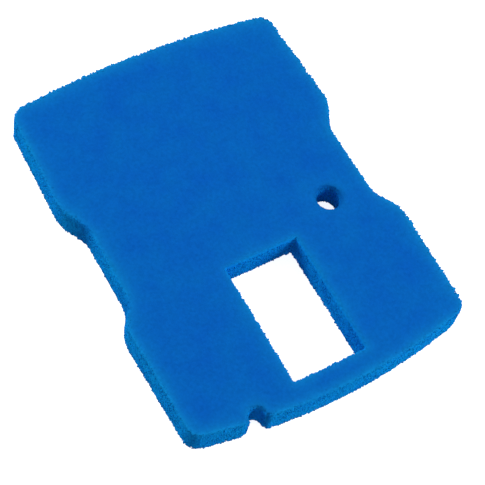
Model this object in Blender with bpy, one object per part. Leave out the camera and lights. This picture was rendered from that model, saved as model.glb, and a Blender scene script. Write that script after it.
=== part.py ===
"""Sponge filter: one pad of open-cell filter foam, die-cut from 25 mm sheet.

Metres, +Z up. The pad lies flat with its underside at z = 0, and the origin is the
centre of the rectangle that the outline just fits in. +Y points from the end with the
window towards the plain end, and the round hole is on the +X side.

The outline is the same on both sides of the Y axis: two crowned ends, and a shallow
waist between rounded shoulders. A rectangular window, a round hole and a small notch
in the window end go right through.
"""

import math

import bmesh
import bpy
from mathutils import Vector

# Driving dimensions, in metres
LENGTH = 0.320
THICKNESS = 0.025

PLAIN_END_WIDTH = 0.230         # between the side lines, where they meet the end's crown
PLAIN_END_CROWN = 0.0083        # how far the end bulges past those corners
PLAIN_CORNER_RADIUS = 0.012
WINDOW_END_WIDTH = 0.2358
WINDOW_END_CROWN = 0.0141
WINDOW_END_CORNER_RADIUS = 0.011

PLAIN_SHOULDER_WIDTH = 0.2374   # across the corners where the waist begins
PLAIN_SHOULDER_Y = 0.0585
WAIST_WIDTH_PLAIN_SIDE = 0.2138
WAIST_TOP_Y = 0.036
WAIST_WIDTH_WINDOW_SIDE = 0.2144
WAIST_BOTTOM_Y = -0.0305
WINDOW_SHOULDER_WIDTH = 0.2394
WINDOW_SHOULDER_Y = -0.0497
WAIST_BLEND_RADIUS = 0.0257

WINDOW_X = 0.0005
WINDOW_WIDTH = 0.0634
WINDOW_LENGTH = 0.104
WINDOW_END_MARGIN = 0.018       # foam left between the window and the end's crown
WINDOW_FILLET = 0.0025

HOLE_DIAMETER = 0.0205
HOLE_X = 0.0733
HOLE_Y = -0.0191

NOTCH_WIDTH = 0.0119
NOTCH_X = -0.068
NOTCH_DEPTH = 0.0091            # from the crowned edge to the notch's round bottom
NOTCH_LIP_RADIUS = 0.0022

FOAM_BLUE = (0.003, 0.117, 0.491, 1.0)
FOAM_ROUGHNESS = 0.95

# How finely the curves are faceted
CROWN_STEPS = 24                # over half an end
CORNER_STEPS = 10
BLEND_STEPS = 8
HOLE_STEPS = 48
CUT_CLEARANCE = 0.005           # how far a cutter reaches past the foam


def clear_scene():
    for obj in list(bpy.data.objects):
        bpy.data.objects.remove(obj, do_unlink=True)


def arc(centre, radius, start, end, steps):
    """Points on an arc from angle start to angle end, both ends included."""
    angles = [start + (end - start) * i / steps for i in range(steps + 1)]
    return [centre + radius * Vector((math.cos(a), math.sin(a))) for a in angles]


def arc_between(centre, first, last, steps):
    """The shorter arc round centre from point first to point last."""
    radius = (first - centre).length
    start = math.atan2(first.y - centre.y, first.x - centre.x)
    end = math.atan2(last.y - centre.y, last.x - centre.x)
    turn = (end - start + math.pi) % (2 * math.pi) - math.pi
    return arc(centre, radius, start, start + turn, steps)


def fillet(before, corner, after, radius, steps):
    """The arc that rounds a corner between two straight edges."""
    back = (before - corner).normalized()
    ahead = (after - corner).normalized()
    half_angle = back.angle(ahead) / 2
    centre = corner + (back + ahead).normalized() * radius / math.sin(half_angle)
    reach = radius / math.tan(half_angle)
    return arc_between(centre, corner + back * reach, corner + ahead * reach, steps)


def crown_radius(width, crown):
    """Radius of the arc over a chord of that width which rises by crown."""
    return (width * width / 4 + crown * crown) / (2 * crown)


def side_meets_crown(side_from, side_to, crown_centre, crown_arc_radius, corner_radius):
    """Rounds the corner between a straight right-hand side and a crowned end.

    The corner circle touches the side's line and lies inside the crown's circle.
    Returns its centre and its touching points on the side and on the crown.
    """
    along = (side_to - side_from).normalized()
    inward = Vector((-abs(along.y), along.x * math.copysign(1, along.y)))
    offset = side_from + inward * corner_radius - crown_centre
    reach = crown_arc_radius - corner_radius
    middle = -offset.dot(along)
    half = math.sqrt(middle * middle - offset.length_squared + reach * reach)
    centre = crown_centre + offset + along * (middle + half)
    on_side = centre - inward * corner_radius
    on_crown = crown_centre + (centre - crown_centre).normalized() * crown_arc_radius
    return centre, on_side, on_crown


def half_outline():
    """The right-hand side of the outline, from the window end's middle to the plain end's."""
    window_end = Vector((WINDOW_END_WIDTH / 2, -LENGTH / 2 + WINDOW_END_CROWN))
    window_shoulder = Vector((WINDOW_SHOULDER_WIDTH / 2, WINDOW_SHOULDER_Y))
    waist_bottom = Vector((WAIST_WIDTH_WINDOW_SIDE / 2, WAIST_BOTTOM_Y))
    waist_top = Vector((WAIST_WIDTH_PLAIN_SIDE / 2, WAIST_TOP_Y))
    plain_shoulder = Vector((PLAIN_SHOULDER_WIDTH / 2, PLAIN_SHOULDER_Y))
    plain_end = Vector((PLAIN_END_WIDTH / 2, LENGTH / 2 - PLAIN_END_CROWN))

    window_crown = crown_radius(WINDOW_END_WIDTH, WINDOW_END_CROWN)
    window_crown_centre = Vector((0, -LENGTH / 2 + window_crown))
    plain_crown = crown_radius(PLAIN_END_WIDTH, PLAIN_END_CROWN)
    plain_crown_centre = Vector((0, LENGTH / 2 - plain_crown))

    corner, on_side, on_crown = side_meets_crown(
        window_shoulder, window_end, window_crown_centre, window_crown, WINDOW_END_CORNER_RADIUS
    )
    middle = Vector((0, -LENGTH / 2))
    points = arc_between(window_crown_centre, middle, on_crown, CROWN_STEPS)
    points += arc_between(corner, on_crown, on_side, CORNER_STEPS)[1:]

    corners = [window_end, window_shoulder, waist_bottom, waist_top, plain_shoulder, plain_end]
    for before, here, after in zip(corners, corners[1:], corners[2:]):
        points += fillet(before, here, after, WAIST_BLEND_RADIUS, BLEND_STEPS)

    corner, on_side, on_crown = side_meets_crown(
        plain_shoulder, plain_end, plain_crown_centre, plain_crown, PLAIN_CORNER_RADIUS
    )
    middle = Vector((0, LENGTH / 2))
    points += arc_between(corner, on_side, on_crown, CORNER_STEPS)
    points += arc_between(plain_crown_centre, on_crown, middle, CROWN_STEPS)[1:]
    return points


def pad_outline():
    """The whole outline, anticlockwise: the right half and its mirror image."""
    right = half_outline()
    left = [Vector((-p.x, p.y)) for p in reversed(right[1:-1])]
    return right + left


def window_outline():
    """The window's rectangle with its small corner fillets."""
    low_y = -LENGTH / 2 + WINDOW_END_MARGIN
    high_y = low_y + WINDOW_LENGTH
    left, right = WINDOW_X - WINDOW_WIDTH / 2, WINDOW_X + WINDOW_WIDTH / 2
    corners = [Vector(c) for c in ((left, low_y), (right, low_y), (right, high_y), (left, high_y))]
    points = []
    for i, corner in enumerate(corners):
        after = corners[(i + 1) % len(corners)]
        points += fillet(corners[i - 1], corner, after, WINDOW_FILLET, CORNER_STEPS // 2)
    return points


def hole_outline():
    full_turn = arc(Vector((HOLE_X, HOLE_Y)), HOLE_DIAMETER / 2, 0, 2 * math.pi, HOLE_STEPS)
    return full_turn[:-1]


def notch_outline():
    """A round-bottomed slot that opens through the window end, its mouth flared by the lips."""
    crown = crown_radius(WINDOW_END_WIDTH, WINDOW_END_CROWN)
    edge_y = -LENGTH / 2 + crown - math.sqrt(crown * crown - NOTCH_X * NOTCH_X)
    half = NOTCH_WIDTH / 2
    top = Vector((NOTCH_X, edge_y + NOTCH_DEPTH - half))
    lip_y = edge_y + NOTCH_LIP_RADIUS
    below = edge_y - CUT_CLEARANCE
    flare = half + NOTCH_LIP_RADIUS

    points = [Vector((NOTCH_X - flare, below)), Vector((NOTCH_X + flare, below))]
    lip = Vector((NOTCH_X + flare, lip_y))
    points += arc(lip, NOTCH_LIP_RADIUS, 1.5 * math.pi, math.pi, CORNER_STEPS // 2)
    points += arc(top, half, 0, math.pi, 2 * CORNER_STEPS)
    lip = Vector((NOTCH_X - flare, lip_y))
    points += arc(lip, NOTCH_LIP_RADIUS, 0, -0.5 * math.pi, CORNER_STEPS // 2)
    return points


def prism(name, outline, low_z, high_z):
    """A closed upright prism over an anticlockwise outline."""
    mesh = bpy.data.meshes.new(name)
    bm = bmesh.new()
    face = bm.faces.new([bm.verts.new((p.x, p.y, low_z)) for p in outline])
    raised = bmesh.ops.extrude_face_region(bm, geom=[face])["geom"]
    corners = [v for v in raised if isinstance(v, bmesh.types.BMVert)]
    bmesh.ops.translate(bm, verts=corners, vec=(0, 0, high_z - low_z))
    bmesh.ops.recalc_face_normals(bm, faces=bm.faces)
    bm.to_mesh(mesh)
    bm.free()
    obj = bpy.data.objects.new(name, mesh)
    bpy.context.scene.collection.objects.link(obj)
    return obj


def cut(body, name, outline):
    """Cuts an outline right through the body with a hidden cutter."""
    cutter = prism(name, outline, -CUT_CLEARANCE, THICKNESS + CUT_CLEARANCE)
    cutter.hide_render = True
    cutter.display_type = "WIRE"
    modifier = body.modifiers.new(name, "BOOLEAN")
    modifier.operation = "DIFFERENCE"
    modifier.object = cutter


def foam_material():
    """Blue reticulated polyurethane foam."""
    material = bpy.data.materials.new("blue_filter_foam")
    material.use_nodes = True
    shader = material.node_tree.nodes["Principled BSDF"]
    shader.inputs["Base Color"].default_value = FOAM_BLUE
    shader.inputs["Roughness"].default_value = FOAM_ROUGHNESS
    shader.inputs["Metallic"].default_value = 0.0
    return material


def make_foam_pad():
    pad = prism("foam_pad", pad_outline(), 0, THICKNESS)
    pad.data.materials.append(foam_material())
    cut(pad, "window_cutter", window_outline())
    cut(pad, "hole_cutter", hole_outline())
    cut(pad, "notch_cutter", notch_outline())
    return pad


clear_scene()
make_foam_pad()
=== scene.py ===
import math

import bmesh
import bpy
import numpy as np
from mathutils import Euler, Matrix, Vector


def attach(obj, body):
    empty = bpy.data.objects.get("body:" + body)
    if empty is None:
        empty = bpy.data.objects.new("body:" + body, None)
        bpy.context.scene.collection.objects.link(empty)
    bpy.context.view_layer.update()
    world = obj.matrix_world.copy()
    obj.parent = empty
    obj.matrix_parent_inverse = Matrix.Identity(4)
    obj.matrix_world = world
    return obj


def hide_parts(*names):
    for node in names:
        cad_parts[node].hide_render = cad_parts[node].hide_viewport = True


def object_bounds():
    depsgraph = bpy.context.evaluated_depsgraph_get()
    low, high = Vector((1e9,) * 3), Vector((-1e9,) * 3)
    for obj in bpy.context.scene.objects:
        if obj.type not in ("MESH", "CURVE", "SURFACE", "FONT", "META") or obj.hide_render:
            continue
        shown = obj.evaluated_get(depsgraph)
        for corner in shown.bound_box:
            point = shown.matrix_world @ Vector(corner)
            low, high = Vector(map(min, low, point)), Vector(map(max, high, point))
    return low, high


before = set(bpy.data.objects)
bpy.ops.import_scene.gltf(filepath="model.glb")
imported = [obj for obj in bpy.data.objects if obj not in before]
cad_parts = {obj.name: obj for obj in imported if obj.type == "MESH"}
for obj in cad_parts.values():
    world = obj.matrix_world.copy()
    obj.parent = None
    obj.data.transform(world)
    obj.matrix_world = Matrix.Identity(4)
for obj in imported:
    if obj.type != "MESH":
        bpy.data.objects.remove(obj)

# Sponge filter: the looks of one die-cut pad of open-cell foam.
#
# foam_core is the dense inside of the foam. Its surface follows a depth field that is
# worked out from the CAD outline: rims rubbed round, edges swollen a little, pits where
# cells open, and rims torn tuft by tuft. The five foam_edge pieces are nets of struts from
# one lattice of foam cells, and they line the cut edges. Lengths are in metres.

CAD_LOW, CAD_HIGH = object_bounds()
BOTTOM, TOP = CAD_LOW.z, CAD_HIGH.z

# The foam's cells
SEED = 4127
CELL = 0.0025                    # edge of the cube that holds two foam cells
STRUT = 0.00019                  # half thickness of a strut at its junctions
EDGE_STRUT = 0.00036             # the same along the die-cut edges
JITTER = 0.19                    # how far a junction strays, as a share of CELL
WARP = 0.0009                    # how far the cells drift from an even lattice
WARP_WAVE = 0.016                # length of the waves in which they drift
WARP_WAVES = 9
LATTICE_TURN = (0.41, 0.67, 0.29)

# The loose struts at the cut edges
WALL_NAP = 0.0009                # how far they stand proud of the die-cut edges
WALL_SHELL = 0.0008              # depth of the layer that they fill
STRUT_LIMIT = 0.0022             # they stop this far in from the edges
RUBBED_DEPTH = 0.003             # none are left on an opening's rubbed rim
FRAY = 0.0007                    # how much further single struts reach, give or take
FRAY_SKEW = (-0.4, 1)            # this range is cubed, so that few struts reach as far
FRAY_SPREAD = 0.3
TIP_SHARE = (0.15, 2)            # shortest and longest that a cut strut can be, as a share

# How far the rims are rubbed round
TOP_ROUND = 0.0014
UNDER_ROUND = 0.0008
WINDOW_ROUND = 0.0032
BORE_ROUND = 0.0040
NOTCH_ROUND = 0.0034
WAIST_ROUND = 0.0030

# The core's surface
CORE_VOXEL = 0.0008
CORE_NAP = 0.0007                # how far the foam has swelled past the cut edges
BORE_TIGHT = 0.4                 # how much of that swelling the hole lacks
NOTCH_WEAR = 1.7                 # the notch lacks all of it and has worn wider instead
SKIN = 0.0012                    # the cut edges' own relief fades over this depth
WALL_PIT = 0.00015               # depth of the open cells in the cut edges
FACE_PIT = 0.00040               # and in the two flat faces
RAGGED = 0.0003                  # how unevenly the die has cut the edges
PROBE = 0.0002                   # half the span over which a slope is measured
SETTLE_STEPS = 3

# Its torn rims
TORN = 0.0024                    # how far a tuft is pulled out or pushed in, at most
TORN_REACH = 0.0018              # the tearing fades over this distance from a rim
TUFT = 0.0014
TUFT_GRID = 61                   # the pattern of tufts repeats after so many
TUFT_PULL = (-0.8, 1)
RIM_PIT = 0.0012                 # how much deeper the open cells bite where they meet a rim
WALL_LEAN = 0.3                  # the tearing fades out where normals lean out less than this
TURN_WIDTH = 0.25                # how sharply the tearing changes with a wall's direction
TOP_TEAR = (0.2, 0.8)            # share of it on walls that face -X and -Y, and +X and +Y
UNDER_TEAR = (0.6, 0.3)
BORE_WHOLE = 0.7                 # how much of the tearing the hole lacks

# Zones of wear and of painted shade
OPENING_REACH = 0.006            # the walls of an opening lie this near it
NOTCH_CENTRE = (-0.068, -0.150)
NOTCH_REACH = 0.009
NOTCH_FADE = 0.003
WAIST_CENTRE = 0.0045            # the waists' middle along Y, and half their length
WAIST_HALF = 0.049
WAIST_INNER = 0.098
WAIST_FADE = 0.008
# Where shade is painted in the waists' inner corners
HOLLOW_X = 0.1075                # the waists' inner corners lie at this X on both sides,
HOLLOW_Y = 0.037                 # and this far from the waists' shaded middle along Y
HOLLOW_MIDDLE = 0.003
HOLLOW_REACH = 0.009

# Where one colour gives way to the next
BLEND = 0.0008
ZONE_BLEND = 0.002
RIM_REACH = 0.005                # how far the painted highlight on the rims fades into a face
WINDOW_RIM_LOSS = 0.25           # how much of that painted highlight the window and the hole lack
BORE_RIM_LOSS = 0.7
WALL_START = 0.0006              # how far below its rim a wall's colour starts,
WINDOW_START = 0.0010            # and how much lower still where the rim is rubbed more
BORE_START = 0.0030
NOTCH_START = 0.0015
# Painted shade on the hole's upper wall: where it starts below the rim, and how far down it fades
LIP_START = 0.0005
LIP_REACH = 0.004
# Painted shade in the waists' inner corners: where it starts, and how strong it is
HOLLOW_START = 0.001
HOLLOW_SHADE = 0.65

# The foam's blues, each laid over the ones before it by the vertex attribute of its name; the
# rim's is a painted highlight, the wall's partly painted light, and the rest painted shade
FACE_BLUE = (0.0026, 0.1125, 0.475)
ZONE_BLUES = {
    # painted highlight along the rims
    "rim": (0.0042, 0.190, 0.530),
    # the cut edges' paler blue: partly their own colour, partly painted light
    "wall": (0.0038, 0.296, 0.820),
    # painted shade on the window's walls
    "opening": (0.0028, 0.243, 0.745),
    # painted shade, darker still, on the walls of the hole and the notch
    "painted_bore_shade": (0.0026, 0.208, 0.680),
    # painted shade on the hole's upper wall, just below its rim
    "painted_lip_shade": (0.0020, 0.092, 0.372),
    # painted shade in the waists' inner corners
    "painted_hollow_shade": (0.0030, 0.140, 0.540),
}
FOAM_ROUGHNESS = 0.95
MOTTLE_SCALE = 420               # noise of a few millimetres, in the value
MOTTLE_VALUE = (0.91, 1.07)
TINT_SCALE = 45                  # and of a few centimetres, in the hue
TINT_HUE = (0.496, 0.503)
NOISE_SPAN = (0.3, 0.7)          # where most of the noise's values lie
FINE_PORE = 0.0009               # pitch of the pores that are only drawn
PORE_BUMP = 0.3

PARTS = (
    "foam_edge_plain_left", "foam_edge_plain_right", "foam_edge_window_left",
    "foam_edge_window_right", "foam_edge_openings",
)


# ---------------------------------------------------------------- the pad's profile
def profile_loops(node):
    """The closed outlines round the pad's top face, each an N x 2 array, smallest first."""
    bm = bmesh.new()
    bm.from_mesh(node.data)
    bmesh.ops.remove_doubles(bm, verts=bm.verts, dist=1e-6)
    bm.normal_update()
    follows = {}
    for edge in bm.edges:
        if len(edge.link_faces) != 2:
            continue
        up = [f.normal.z > 0.5 for f in edge.link_faces]
        if up[0] != up[1]:
            a, b = edge.verts
            follows.setdefault(a.index, []).append(b.index)
            follows.setdefault(b.index, []).append(a.index)
    bm.verts.ensure_lookup_table()
    loops = []
    left = set(follows)
    while left:
        here = min(left)
        left.discard(here)
        loop = [here]
        while True:
            ahead = [v for v in follows[here] if v in left]
            if not ahead:
                break
            here = ahead[0]
            left.discard(here)
            loop.append(here)
        loops.append(np.array([bm.verts[i].co[:2] for i in loop]))
    bm.free()
    return sorted(loops, key=lambda loop: np.ptp(loop, axis=0).max())


def loop_box(loop):
    """Centre and half size of the rectangle that a loop just fits in, to the micrometre."""
    low, high = loop.min(0), loop.max(0)
    return np.round((low + high) / 2, 6), np.round((high - low) / 2, 6)


class Profile:
    """Distance from the pad's cut edges over a grid, positive inside the foam."""

    STEP = 0.0007
    MARGIN = 0.006

    def __init__(self, loops):
        points = np.concatenate(loops)
        self.low = points.min(0) - self.MARGIN
        count = np.ceil((points.max(0) + self.MARGIN - self.low) / self.STEP).astype(int) + 1
        self.count = count
        xs = self.low[0] + self.STEP * np.arange(count[0])
        ys = self.low[1] + self.STEP * np.arange(count[1])
        x, y = np.meshgrid(xs, ys, indexing="ij")
        nearest = np.full(x.shape, np.inf)
        inside = np.zeros(x.shape, bool)
        for loop in loops:
            for (ax, ay), (bx, by) in zip(loop, np.roll(loop, -1, axis=0)):
                dx, dy = bx - ax, by - ay
                along = np.clip(((x - ax) * dx + (y - ay) * dy) / (dx * dx + dy * dy), 0, 1)
                gap = (x - ax - along * dx) ** 2 + (y - ay - along * dy) ** 2
                np.minimum(nearest, gap, out=nearest)
                if ay != by:
                    crosses = (y >= min(ay, by)) & (y < max(ay, by))
                    inside ^= crosses & (x < ax + (y - ay) * dx / dy)
        self.grid = np.where(inside, 1, -1) * np.sqrt(nearest)

    def distance(self, points):
        """The distance at each point, read between the four grid values round it."""
        place = (points[:, :2] - self.low) / self.STEP
        cell = np.clip(np.floor(place).astype(int), 0, self.count - 2)
        fx, fy = (place - cell).clip(0, 1).T
        i, j = cell.T
        g = self.grid
        near = g[i, j] * (1 - fy) + g[i, j + 1] * fy
        far = g[i + 1, j] * (1 - fy) + g[i + 1, j + 1] * fy
        return near * (1 - fx) + far * fx


pad_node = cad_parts["foam_pad"]
hole_loop, window_loop, outline = profile_loops(pad_node)
HOLE_CENTRE, (HOLE_RADIUS, _) = loop_box(hole_loop)
WINDOW_CENTRE, WINDOW_HALF = loop_box(window_loop)
profile = Profile([outline, window_loop, hole_loop])


def depths(points):
    """How deep points lie behind the cut edges and behind the two flat faces."""
    edge = profile.distance(points)
    flat = np.minimum(points[:, 2] - BOTTOM, TOP - points[:, 2])
    return edge, flat


def in_top_half(points):
    return points[:, 2] > (BOTTOM + TOP) / 2


# ---------------------------------------------------------------- zones of the pad
def fade(gap, reach):
    """1 where a gap is 0 or less, falling evenly to 0 at reach."""
    return np.clip(1 - gap / reach, 0, 1)


def below_zero(value, width):
    """1 where a value is well below 0, turning smoothly to 0 where it is well above."""
    return 1 / (1 + np.exp(value / width))


def window_gap(points):
    """How far points lie outside the window's rectangle."""
    past = np.abs(points[:, :2] - WINDOW_CENTRE) - WINDOW_HALF
    return np.hypot(*past.clip(0, None).T)


def bore_gap(points):
    """How far points lie outside the round hole."""
    return np.hypot(*(points[:, :2] - HOLE_CENTRE).T) - HOLE_RADIUS


def near_window(points):
    """1 round the window, fading to 0 a little way off."""
    return fade(window_gap(points) - OPENING_REACH, OPENING_REACH)


def near_bore(points):
    """1 round the hole, fading to 0 a little way off."""
    return fade(bore_gap(points) - OPENING_REACH, OPENING_REACH)


def near_notch(points):
    """1 round the notch, fading to 0 a little way off."""
    return fade(np.hypot(*(points[:, :2] - NOTCH_CENTRE).T) - NOTCH_REACH, NOTCH_FADE)


def near_waist(points):
    """1 along the waists, fading to 0 past their shoulders."""
    along = np.abs(points[:, 1] - WAIST_CENTRE) - WAIST_HALF
    across = WAIST_INNER - np.abs(points[:, 0])
    return fade(np.maximum(along, across), WAIST_FADE)


def near_hollow(points):
    """1 at the waists' inner corners, where shade is painted, fading to 0 round them."""
    across = np.abs(points[:, 0]) - HOLLOW_X
    along = np.abs(points[:, 1] - HOLLOW_MIDDLE) - HOLLOW_Y
    return np.exp(-(np.hypot(across, along) / HOLLOW_REACH) ** 2)


def swelling(points):
    """How much of its swelling the foam keeps, below 0 where it has worn away instead."""
    return 1 - BORE_TIGHT * near_bore(points) - NOTCH_WEAR * near_notch(points)


def rounded(points, nap=0.0):
    """Depth inside the pad once its rims are rubbed round."""
    edge, flat = depths(points)
    edge = edge + nap
    top_radius = TOP_ROUND + (WINDOW_ROUND - TOP_ROUND) * near_window(points)
    top_radius += (BORE_ROUND - TOP_ROUND) * near_bore(points)
    top_radius += (NOTCH_ROUND - TOP_ROUND) * near_notch(points)
    top_radius += (WAIST_ROUND - TOP_ROUND) * near_waist(points)
    radius = np.where(in_top_half(points), top_radius, UNDER_ROUND)
    past_edge, past_flat = radius - edge, radius - flat
    corner = (past_edge > 0) & (past_flat > 0)
    return np.where(corner, radius - np.hypot(past_edge, past_flat), np.minimum(edge, flat))


def inward(points):
    """The unit direction in which the rounded depth grows fastest."""
    steps = np.eye(3) * PROBE
    slope = np.stack([rounded(points + step) - rounded(points - step) for step in steps], 1)
    return slope / np.linalg.norm(slope, axis=1, keepdims=True).clip(1e-9)


# ---------------------------------------------------------------- the foam's cells
rng = np.random.default_rng(SEED)
TURN = np.array(Euler(LATTICE_TURN).to_matrix())
QUARTER = CELL / 4
WAVES = rng.normal(size=(WARP_WAVES, 3))
WAVES *= 2 * math.pi / WARP_WAVE / np.linalg.norm(WAVES, axis=1, keepdims=True)
DRIFTS = rng.normal(size=(WARP_WAVES, 3)) * WARP / math.sqrt(WARP_WAVES)
PHASES = rng.uniform(0, 2 * math.pi, WARP_WAVES)
TUFTS = rng.uniform(*TUFT_PULL, (TUFT_GRID, TUFT_GRID, TUFT_GRID))


def drift(points):
    """How far the foam's growth has carried each point off the even lattice."""
    return np.sin(points @ WAVES.T + PHASES) @ DRIFTS


def place_lattice(steps):
    """Lattice steps of a quarter cell, as points in the pad's frame."""
    return steps @ TURN.T * QUARTER


def cell_offset(points):
    """Distance of each point from the middle of the foam cell it lies in."""
    q = (points - drift(points)) @ TURN / CELL
    corner = np.linalg.norm(q - np.round(q), axis=1)
    middle = np.linalg.norm(q - np.floor(q) - 0.5, axis=1)
    return np.minimum(corner, middle) * CELL


def edge_cubes():
    """The lattice's cubes near the cut edges, in whole cubes from the origin."""
    box = np.array([[x, y, z] for x in (CAD_LOW.x, CAD_HIGH.x)
                    for y in (CAD_LOW.y, CAD_HIGH.y) for z in (CAD_LOW.z, CAD_HIGH.z)])
    turned = box @ TURN / CELL
    low = np.floor(turned.min(0)).astype(int) - 1
    high = np.ceil(turned.max(0)).astype(int) + 1
    axes = [np.arange(a, b + 1) for a, b in zip(low, high)]
    cubes = np.stack(np.meshgrid(*axes, indexing="ij"), -1).reshape(-1, 3)
    margin = 1.5 * CELL
    heights = place_lattice(4 * cubes + 2)[:, 2]
    cubes = cubes[np.minimum(heights - BOTTOM, TOP - heights) > -margin]
    edge, _ = depths(place_lattice(4 * cubes + 2))
    return cubes[(edge > -margin) & (edge < STRUT_LIMIT + margin)]


def junction_steps():
    """The strut junctions of those cubes, as whole quarter-cell steps from the origin.

    A cube has twelve: an odd step along one axis, and 0 and 2 along the other two.
    """
    cubes = edge_cubes()
    corners = []
    for odd in range(3):
        first, second = (odd + 1) % 3, (odd + 2) % 3
        for along in (1, 3):
            for pair in ((0, 2), (2, 0)):
                corner = np.zeros(3, int)
                corner[odd] = along
                corner[first], corner[second] = pair
                corners.append(corner)
    return np.concatenate([4 * cubes + corner for corner in corners])


def step_keys(steps):
    """One whole number for each junction, to look it up by."""
    span = 8192                  # more than the lattice has steps each way
    shifted = steps + span // 2
    return (shifted[:, 0] * span + shifted[:, 1]) * span + shifted[:, 2]


def edge_part(points):
    """Which part of the cut edges points belong to, as an index in PARTS."""
    outer = 2 * (points[:, 1] < 0) + (points[:, 0] > 0)
    opening = (window_gap(points) < OPENING_REACH) | (bore_gap(points) < OPENING_REACH)
    return np.where(opening, PARTS.index("foam_edge_openings"), outer)


class Lattice:
    """Junctions of the foam and the four struts that leave each one.

    A junction is a small tetrahedron. Each strut leaves it by a slot of its own, the face
    opposite the corner of the same number.
    """

    def __init__(self):
        steps = junction_steps()
        keys = step_keys(steps)
        order = np.argsort(keys)
        self.steps, self.keys = steps[order], keys[order]
        stray = rng.uniform(-1, 1, self.steps.shape) * JITTER * CELL
        even = place_lattice(self.steps)
        self.points = even + drift(even) + stray
        self.part = edge_part(self.points)
        self.find_struts()

        edge, _ = depths(self.points)
        nap = WALL_NAP * swelling(self.points) * np.exp(-edge.clip(0) / SKIN)
        self.depth = rounded(self.points, nap)
        self.inside = self.depth > 0
        self.loose = self.inside & (self.depth < WALL_SHELL) & (edge < STRUT_LIMIT)
        by_opening = np.maximum(near_window(self.points), near_bore(self.points))
        self.loose &= TOP - self.points[:, 2] > by_opening * RUBBED_DEPTH
        self.shape(STRUT + (EDGE_STRUT - STRUT) * np.clip(2 - edge / WALL_SHELL, 0, 1))

    def find_struts(self):
        """Finds which way each junction's four struts go and where they end."""
        count = len(self.steps)
        rows = np.arange(count)
        # A strut goes a step along one of the even axes, and one up or down the odd axis
        odd = np.argmax(self.steps % 2, axis=1)
        first, second = (odd + 1) % 3, (odd + 2) % 3
        own = self.steps[rows, odd]
        p, q = self.steps[rows, first] % 4, self.steps[rows, second] % 4
        self.rise_first = np.where((own + 1) % 4 == 2 - q, 1, -1)
        rise_second = np.where((own + 1) % 4 == 2 - p, 1, -1)
        self.moves = np.zeros((count, 4, 3), int)
        for slot, (axis, sign, rise) in enumerate((
            (first, 1, self.rise_first), (first, -1, self.rise_first),
            (second, 1, rise_second), (second, -1, rise_second),
        )):
            self.moves[rows, slot, axis] = sign
            self.moves[rows, slot, odd] = rise
        self.neighbour = np.empty((count, 4), int)
        for slot in range(4):
            wanted = step_keys(self.steps + self.moves[:, slot])
            found = np.searchsorted(self.keys, wanted).clip(0, count - 1)
            self.neighbour[:, slot] = np.where(self.keys[found] == wanted, found, -1)

    def shape(self, thick):
        """Gives each junction its tetrahedron, whose corners lie thick from its middle."""
        directions = self.moves / math.sqrt(2) @ TURN.T
        self.tetra = self.points[:, None, :] - directions * thick[:, None, None]
        a, b, c, d = (self.tetra[:, i] for i in range(4))
        self.turned = np.einsum("ij,ij->i", np.cross(b - a, c - a), d - a) > 0

    def face(self, junctions, slots):
        """The three corners of each junction's face towards a slot, turning right round it."""
        table = np.array([[1, 2, 3], [0, 3, 2], [0, 1, 3], [0, 2, 1]])
        corners = table[slots]
        flipped = corners[:, [0, 2, 1]]
        return np.where(self.turned[junctions, None], corners, flipped)

    def ring(self, junctions, face):
        """Where the corners of a junction's face lie from the junction's middle."""
        return self.tetra[junctions[:, None], face] - self.points[junctions][:, None]


lattice = Lattice()


# ---------------------------------------------------------------- nets of struts
def whole_struts(part):
    """A part's struts, each once: from slot 0 or 1 of one junction to slot 2 or 3 of the next."""
    inside, loose = lattice.inside, lattice.loose
    near, near_slot, far, far_slot = [], [], [], []
    for slot in (0, 1):
        other = lattice.neighbour[:, slot]
        owner = np.where(loose, lattice.part, lattice.part[other])
        good = (other >= 0) & inside & inside[other] & (loose | loose[other]) & (owner == part)
        start = np.nonzero(good)[0]
        near.append(start)
        near_slot.append(np.full(len(start), slot))
        far.append(other[start])
        far_slot.append(np.where(lattice.rise_first[start] < 0, 2, 3))
    return [np.concatenate(values) for values in (near, near_slot, far, far_slot)]


def least_twist(near_ring, far_ring):
    """For each strut, the order of the far ring's corners that twists it least."""
    scores = np.stack([
        np.einsum("ijk,ijk->i", near_ring, np.roll(far_ring, -turn, axis=1)) for turn in range(3)
    ])
    return (np.arange(3)[None] + scores.argmax(0)[:, None]) % 3


def cut_struts(part, open_slot):
    """A part's struts that the die cut through: junctions, slots and where their tips are."""
    mine = lattice.loose & (lattice.part == part)
    junctions, slots = np.nonzero(open_slot & (lattice.neighbour >= 0) & mine[:, None])
    other = lattice.neighbour[junctions, slots]
    cut = ~lattice.inside[other]
    junctions, slots, other = junctions[cut], slots[cut], other[cut]
    share = lattice.depth[junctions] / (lattice.depth[junctions] - lattice.depth[other])
    here, there = lattice.points[junctions], lattice.points[other]
    span = np.linalg.norm(there - here, axis=1)
    sideways = 1 - np.abs((there - here)[:, 2]) / span
    stray = rng.uniform(*FRAY_SKEW, len(share)) ** 3
    stray += rng.uniform(-FRAY_SPREAD, FRAY_SPREAD, len(share))
    share = np.clip(share + stray * sideways * FRAY / span, *TIP_SHARE)
    tips = here + (there - here) * share[:, None]
    tips[:, 2] = tips[:, 2].clip(BOTTOM, None)
    return junctions, slots, tips


def tube_quads(first, second):
    """The three sides between two rings of three corners each."""
    quads = []
    for k in range(3):
        n = (k + 1) % 3
        quads.append(np.stack([first[:, k], first[:, n], second[:, n], second[:, k]], 1))
    return np.concatenate(quads)


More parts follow.
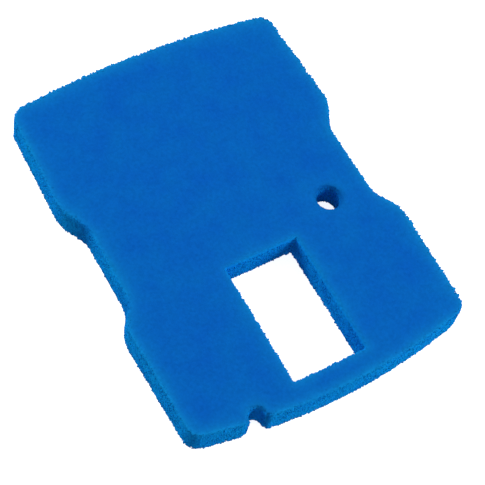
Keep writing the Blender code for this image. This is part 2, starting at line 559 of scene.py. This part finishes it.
def strut_mesh(name, part):
    """One closed net of the struts that belong to a part of the cut edges."""
    near, near_slot, far, far_slot = whole_struts(part)
    used = np.zeros(len(lattice.points), bool)
    used[near] = True
    used[far] = True
    bodies = lattice.tetra[used].reshape(-1, 3)
    first_corner = 4 * (np.cumsum(used) - 1)
    open_slot = np.repeat(used[:, None], 4, axis=1)
    open_slot[near, near_slot] = False
    open_slot[far, far_slot] = False

    near_face = lattice.face(near, near_slot)
    far_face = lattice.face(far, far_slot)[:, [0, 2, 1]]
    turn = least_twist(lattice.ring(near, near_face), lattice.ring(far, far_face))
    near_ids = first_corner[near][:, None] + near_face
    far_ids = first_corner[far][:, None] + np.take_along_axis(far_face, turn, axis=1)

    junctions, slots, tips = cut_struts(part, open_slot)
    open_slot[junctions, slots] = False
    cut_face = lattice.face(junctions, slots)
    cut_ids = first_corner[junctions][:, None] + cut_face
    ends = (tips[:, None] + lattice.ring(junctions, cut_face)).reshape(-1, 3)
    end_ids = len(bodies) + np.arange(len(ends)).reshape(-1, 3)

    # Slots with no strut are closed by the junction's own face
    bare, bare_slot = np.nonzero(open_slot)
    caps = first_corner[bare][:, None] + lattice.face(bare, bare_slot)
    quads = np.concatenate([tube_quads(near_ids, far_ids), tube_quads(cut_ids, end_ids)])
    triangles = np.concatenate([caps, end_ids])
    return build_mesh(name, np.concatenate([bodies, ends]), quads, triangles)


def build_mesh(name, points, quads, triangles):
    """A smooth-shaded object of points, and of faces that give their points' numbers."""
    mesh = bpy.data.meshes.new(name)
    mesh.vertices.add(len(points))
    mesh.vertices.foreach_set("co", points.astype(np.float32).ravel())
    corners = np.concatenate([quads.ravel(), triangles.ravel()]).astype(np.int32)
    sizes = np.concatenate([np.full(len(quads), 4), np.full(len(triangles), 3)])
    starts = np.concatenate([[0], np.cumsum(sizes)[:-1]]).astype(np.int32)
    mesh.loops.add(len(corners))
    mesh.loops.foreach_set("vertex_index", corners)
    mesh.polygons.add(len(sizes))
    mesh.polygons.foreach_set("loop_start", starts)
    mesh.polygons.foreach_set("use_smooth", np.ones(len(sizes), bool))
    mesh.update(calc_edges=True)
    mesh.validate()
    mark_surface(mesh)
    obj = bpy.data.objects.new(name, mesh)
    bpy.context.scene.collection.objects.link(obj)
    return obj


def read_vectors(collection, field):
    """A mesh's positions or normals as an N x 3 array."""
    values = np.empty(len(collection) * 3, np.float32)
    collection.foreach_get(field, values)
    return values.reshape(-1, 3).astype(float)


def mark_surface(mesh):
    """Stores on each vertex how much of each of ZONE_BLUES it takes: a painted highlight on the
    rims, and painted shade in the openings, on the hole's lip and in the waists' hollows.
    """
    points = read_vectors(mesh.vertices, "co")
    edge, flat = depths(points)
    edge, flat = edge.clip(0), flat.clip(0)
    by_window, by_bore, by_notch = near_window(points), near_bore(points), near_notch(points)

    # Painted highlight: paler towards each rim, where the foam's edges catch the light
    rim = np.exp(-np.hypot(edge, flat) / RIM_REACH)
    rim *= 1 - WINDOW_RIM_LOSS * by_window - BORE_RIM_LOSS * by_bore
    start = WALL_START + WINDOW_START * by_window + BORE_START * by_bore + NOTCH_START * by_notch
    # Wall colour: partly the cut edges' own paler blue, partly painted light
    wall = below_zero(edge - flat + start, BLEND)
    # Painted shade on the walls of the hole, and with the notch's mask below on the notch's walls
    painted_bore_shade = fade(bore_gap(points) - OPENING_REACH + ZONE_BLEND, ZONE_BLEND)
    # Painted shade on the hole's upper wall
    painted_lip_shade = by_bore * np.exp(-((flat - edge).clip(0) / LIP_REACH) ** 2)
    # Painted shade in the waists' inner corners
    painted_hollow_shade = HOLLOW_SHADE * near_hollow(points)
    zones = {
        "rim": rim,
        "wall": wall,
        # Painted shade on the window's walls
        "opening": wall * fade(window_gap(points) - OPENING_REACH + ZONE_BLEND, ZONE_BLEND),
        "painted_bore_shade": wall * np.maximum(painted_bore_shade, by_notch),
        "painted_lip_shade": painted_lip_shade * below_zero(edge - flat + LIP_START, BLEND),
        "painted_hollow_shade": painted_hollow_shade * below_zero(edge - flat - HOLLOW_START, BLEND),
    }
    for zone, values in zones.items():
        layer = mesh.attributes.new(zone, "FLOAT", "POINT")
        layer.data.foreach_set("value", values.astype(np.float32))


# ---------------------------------------------------------------- the core
def voxel_copy(node, name):
    """A new object with a fine even mesh over a CAD node's shape."""
    mesh = node.data.copy()
    bm = bmesh.new()
    bm.from_mesh(mesh)
    bmesh.ops.remove_doubles(bm, verts=bm.verts, dist=1e-6)
    bm.to_mesh(mesh)
    bm.free()
    obj = bpy.data.objects.new(name, mesh)
    bpy.context.scene.collection.objects.link(obj)
    remesh = obj.modifiers.new("voxels", "REMESH")
    remesh.mode = "VOXEL"
    remesh.voxel_size = CORE_VOXEL
    evaluated = obj.evaluated_get(bpy.context.evaluated_depsgraph_get())
    obj.data = bpy.data.meshes.new_from_object(evaluated)
    obj.data.name = name
    obj.modifiers.clear()
    for layer in list(obj.data.attributes):
        if layer.name.startswith("UV"):
            obj.data.attributes.remove(layer)
    return obj


def tearing(points, normals, pit):
    """How far each point of a torn rim is pulled out or pushed in sideways."""
    edge, flat = depths(points)
    length = np.linalg.norm(normals[:, :2], axis=1, keepdims=True)
    outward = normals[:, :2] / length.clip(WALL_LEAN)
    tuft = np.floor(points / (TUFT, TUFT, TOP - BOTTOM)).astype(int) % TUFTS.shape
    pull = TUFTS[tuple(tuft.T)] * TORN + (0.5 - pit) * RIM_PIT
    away = below_zero(-outward.sum(1), TURN_WIDTH)
    top_share = TOP_TEAR[0] + (TOP_TEAR[1] - TOP_TEAR[0]) * away
    under_share = UNDER_TEAR[0] + (UNDER_TEAR[1] - UNDER_TEAR[0]) * away
    pull *= np.where(in_top_half(points), top_share, under_share)
    pull *= swelling(points).clip(0) * (1 - BORE_WHOLE * near_bore(points))
    pull *= np.exp(-np.hypot(edge, flat) / TORN_REACH)
    return outward * pull[:, None]


def make_core():
    """The dense inside of the pad: its surface is pitted where the foam's cells open."""
    core = voxel_copy(pad_node, "foam_core")
    mesh = core.data
    points = read_vectors(mesh.vertices, "co")
    normals = read_vectors(mesh.vertex_normals, "vector")
    edge, _ = depths(points)
    at_edge = np.exp(-edge.clip(0) / SKIN)
    pit = np.clip(1 - (cell_offset(points) / (0.5 * CELL)) ** 2, 0, 1)
    target = pit * (FACE_PIT + (WALL_PIT - FACE_PIT) * at_edge)
    target -= CORE_NAP * at_edge * swelling(points)
    target += rng.uniform(-1, 1, len(points)) * RAGGED * at_edge
    for _ in range(SETTLE_STEPS):
        points = points + inward(points) * (target - rounded(points))[:, None]
    points[:, :2] += tearing(points, normals, pit)
    points[:, 2] = points[:, 2].clip(BOTTOM, TOP)
    mesh.vertices.foreach_set("co", points.astype(np.float32).ravel())
    mesh.polygons.foreach_set("use_smooth", np.ones(len(mesh.polygons), bool))
    mesh.update()
    mark_surface(mesh)
    return core


# ---------------------------------------------------------------- material
def foam_material(name):
    """Blue foam: the zones' colours with their painted highlight and shade, a fine drift of value
    and hue, and a bump of pores.
    """
    material = bpy.data.materials.new(name)
    material.use_nodes = True
    nodes, links = material.node_tree.nodes, material.node_tree.links
    shader = nodes["Principled BSDF"]
    shader.inputs["Roughness"].default_value = FOAM_ROUGHNESS
    shader.inputs["Specular IOR Level"].default_value = 0.0
    coordinates = nodes.new("ShaderNodeTexCoord")

    def attribute(name):
        node = nodes.new("ShaderNodeAttribute")
        node.attribute_name = name
        return node.outputs["Fac"]

    def mix(factor, under, over):
        node = nodes.new("ShaderNodeMix")
        node.data_type = "RGBA"
        under_socket, over_socket = node.inputs[6], node.inputs[7]    # the two colours
        links.new(factor, node.inputs["Factor"])
        if isinstance(under, tuple):
            under_socket.default_value = (*under, 1)
        else:
            links.new(under, under_socket)
        over_socket.default_value = (*over, 1)
        return node.outputs[2]

    def noise(scale, span):
        texture = nodes.new("ShaderNodeTexNoise")
        texture.inputs["Scale"].default_value = scale
        texture.inputs["Detail"].default_value = 3
        links.new(coordinates.outputs["Object"], texture.inputs["Vector"])
        spread = nodes.new("ShaderNodeMapRange")
        for socket, value in zip(("From Min", "From Max", "To Min", "To Max"), NOISE_SPAN + span):
            spread.inputs[socket].default_value = value
        links.new(texture.outputs["Fac"], spread.inputs["Value"])
        return spread.outputs["Result"]

    colour = FACE_BLUE
    for zone, blue in ZONE_BLUES.items():
        colour = mix(attribute(zone), colour, blue)
    tone = nodes.new("ShaderNodeHueSaturation")
    links.new(colour, tone.inputs["Color"])
    links.new(noise(MOTTLE_SCALE, MOTTLE_VALUE), tone.inputs["Value"])
    links.new(noise(TINT_SCALE, TINT_HUE), tone.inputs["Hue"])
    links.new(tone.outputs["Color"], shader.inputs["Base Color"])

    # Pores too fine to model
    pores = nodes.new("ShaderNodeTexVoronoi")
    pores.inputs["Scale"].default_value = 1 / FINE_PORE
    links.new(coordinates.outputs["Object"], pores.inputs["Vector"])
    bump = nodes.new("ShaderNodeBump")
    bump.inputs["Strength"].default_value = PORE_BUMP
    bump.inputs["Distance"].default_value = FINE_PORE / 4
    links.new(pores.outputs["Distance"], bump.inputs["Height"])
    links.new(bump.outputs["Normal"], shader.inputs["Normal"])
    return material


# ---------------------------------------------------------------- pieces
core = make_core()
core.data.materials.clear()
core.data.materials.append(foam_material("foam_core_blue"))
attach(core, "root")
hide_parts("foam_pad")

strut_material = foam_material("foam_strut_blue")
for index, name in enumerate(PARTS):
    piece = strut_mesh(name, index)
    piece.data.materials.append(strut_material)
    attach(piece, "root")


# ---------------------------------------------------------------- floor, light and camera
FLOOR_RADIUS = 6.0
FLOOR_WALL = 5.0                 # height of its raised edge, so that low views stay white
FLOOR_GAP = 0.0004               # keeps it just clear of the pad's underside
FLOOR_WHITE = (0.8, 0.8, 0.8)
FLOOR_GLOW = 0.85
SKY_STRENGTH = 0.41
SOFTBOX_SIZE = 1.0
SOFTBOX_POWER = 27
SOFTBOXES = {"softbox_right": (1.29, -1.16, 1.0), "softbox_back": (-0.92, 1.47, 1.0)}
CAMERA_PLACE = (-0.4105, -0.4516, 1.0464)    # in the pad's frame, as are its two directions
CAMERA_RIGHT = (0.8611, -0.4904, 0.1344)
CAMERA_UP = (0.3767, 0.7927, 0.4793)
CAMERA_LENS = 115.74             # in millimetres, as is the sensor's width
CAMERA_SENSOR = 36


def floor_material():
    """White that glows, so that the floor and its raised edge look alike everywhere."""
    material = bpy.data.materials.new("floor_white")
    material.use_nodes = True
    shader = material.node_tree.nodes["Principled BSDF"]
    shader.inputs["Base Color"].default_value = (*FLOOR_WHITE, 1)
    shader.inputs["Roughness"].default_value = 0.9
    shader.inputs["Specular IOR Level"].default_value = 0.1
    shader.inputs["Emission Color"].default_value = (1, 1, 1, 1)
    shader.inputs["Emission Strength"].default_value = FLOOR_GLOW
    return material


def make_floor():
    """A wide white dish under the pad, whose own glow doesn't light the pad."""
    mesh = bpy.data.meshes.new("floor")
    bm = bmesh.new()
    bmesh.ops.create_circle(bm, cap_ends=True, segments=96, radius=FLOOR_RADIUS)
    raised = bmesh.ops.extrude_edge_only(bm, edges=list(bm.edges))["geom"]
    corners = [v for v in raised if isinstance(v, bmesh.types.BMVert)]
    bmesh.ops.translate(bm, verts=corners, vec=(0, 0, FLOOR_WALL))
    bm.to_mesh(mesh)
    bm.free()
    floor = bpy.data.objects.new("floor", mesh)
    bpy.context.scene.collection.objects.link(floor)
    floor.location = (0, 0, BOTTOM - FLOOR_GAP)
    floor.visible_diffuse = False
    mesh.materials.append(floor_material())


def make_world():
    world = bpy.data.worlds.new("studio")
    world.use_nodes = True
    background = world.node_tree.nodes["Background"]
    background.inputs["Color"].default_value = (1, 1, 1, 1)
    background.inputs["Strength"].default_value = SKY_STRENGTH
    bpy.context.scene.world = world


def make_softbox(name, place):
    """A round soft light that faces the pad."""
    data = bpy.data.lights.new(name, "AREA")
    data.shape = "DISK"
    data.size = SOFTBOX_SIZE
    data.energy = SOFTBOX_POWER
    light = bpy.data.objects.new(name, data)
    bpy.context.scene.collection.objects.link(light)
    light.location = place
    light.rotation_euler = (-Vector(place)).to_track_quat("-Z", "Y").to_euler()


def make_camera():
    data = bpy.data.cameras.new("camera")
    data.lens = CAMERA_LENS
    data.sensor_width = CAMERA_SENSOR
    data.clip_start = 0.05
    data.clip_end = 50
    camera = bpy.data.objects.new("camera", data)
    bpy.context.scene.collection.objects.link(camera)
    right, up = Vector(CAMERA_RIGHT), Vector(CAMERA_UP)
    back = right.cross(up).normalized()
    turn = Matrix((right, up, back)).transposed().to_4x4()
    camera.matrix_world = Matrix.Translation(CAMERA_PLACE) @ turn
    bpy.context.scene.camera = camera


make_floor()
make_world()
for name, place in SOFTBOXES.items():
    make_softbox(name, place)
make_camera()
bpy.context.scene.view_settings.view_transform = "Standard"
